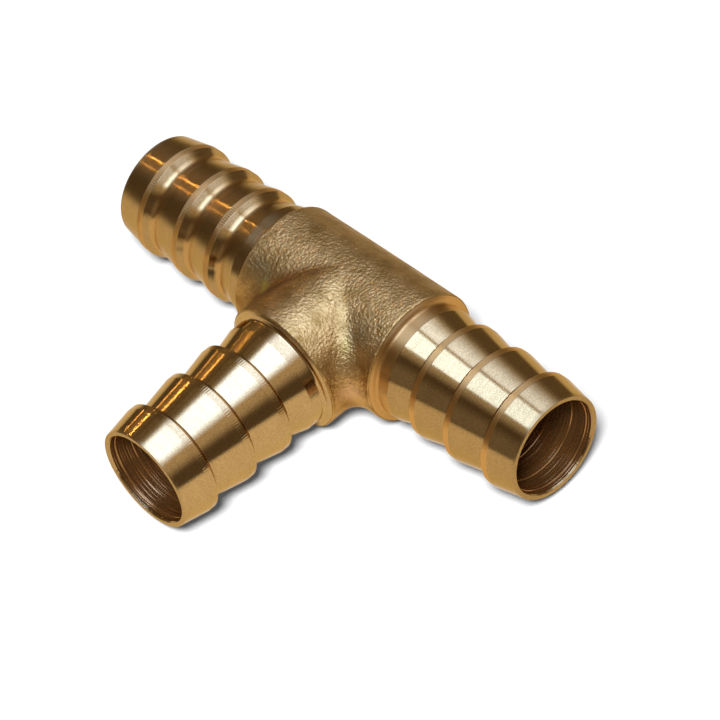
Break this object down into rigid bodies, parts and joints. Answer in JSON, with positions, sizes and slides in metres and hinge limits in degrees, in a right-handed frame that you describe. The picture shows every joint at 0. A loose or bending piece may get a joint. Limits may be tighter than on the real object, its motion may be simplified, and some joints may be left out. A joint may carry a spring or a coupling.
{
  "type": "hose barb tee",
  "caption": "Forged brass tee with barbed hose spigots on both ends of the run and on the branch, joined inside by crossing bores, for splitting a flexible hose line.",
  "frame": {"origin": "where the axes of the run and the branch cross, on the centre line of the bores", "axes": "+X along the run, -Y along the branch towards its tip, +Z normal to the plane of the spigots"},
  "size_m": [0.0632, 0.0395, 0.0158],
  "materials": {
    "brass": "bright as turned on the spigots and end faces, blasted satin on the forged body"
  },
  "bodies": {
    "root": {"tee": "brass"}
  },
  "joints": []
}
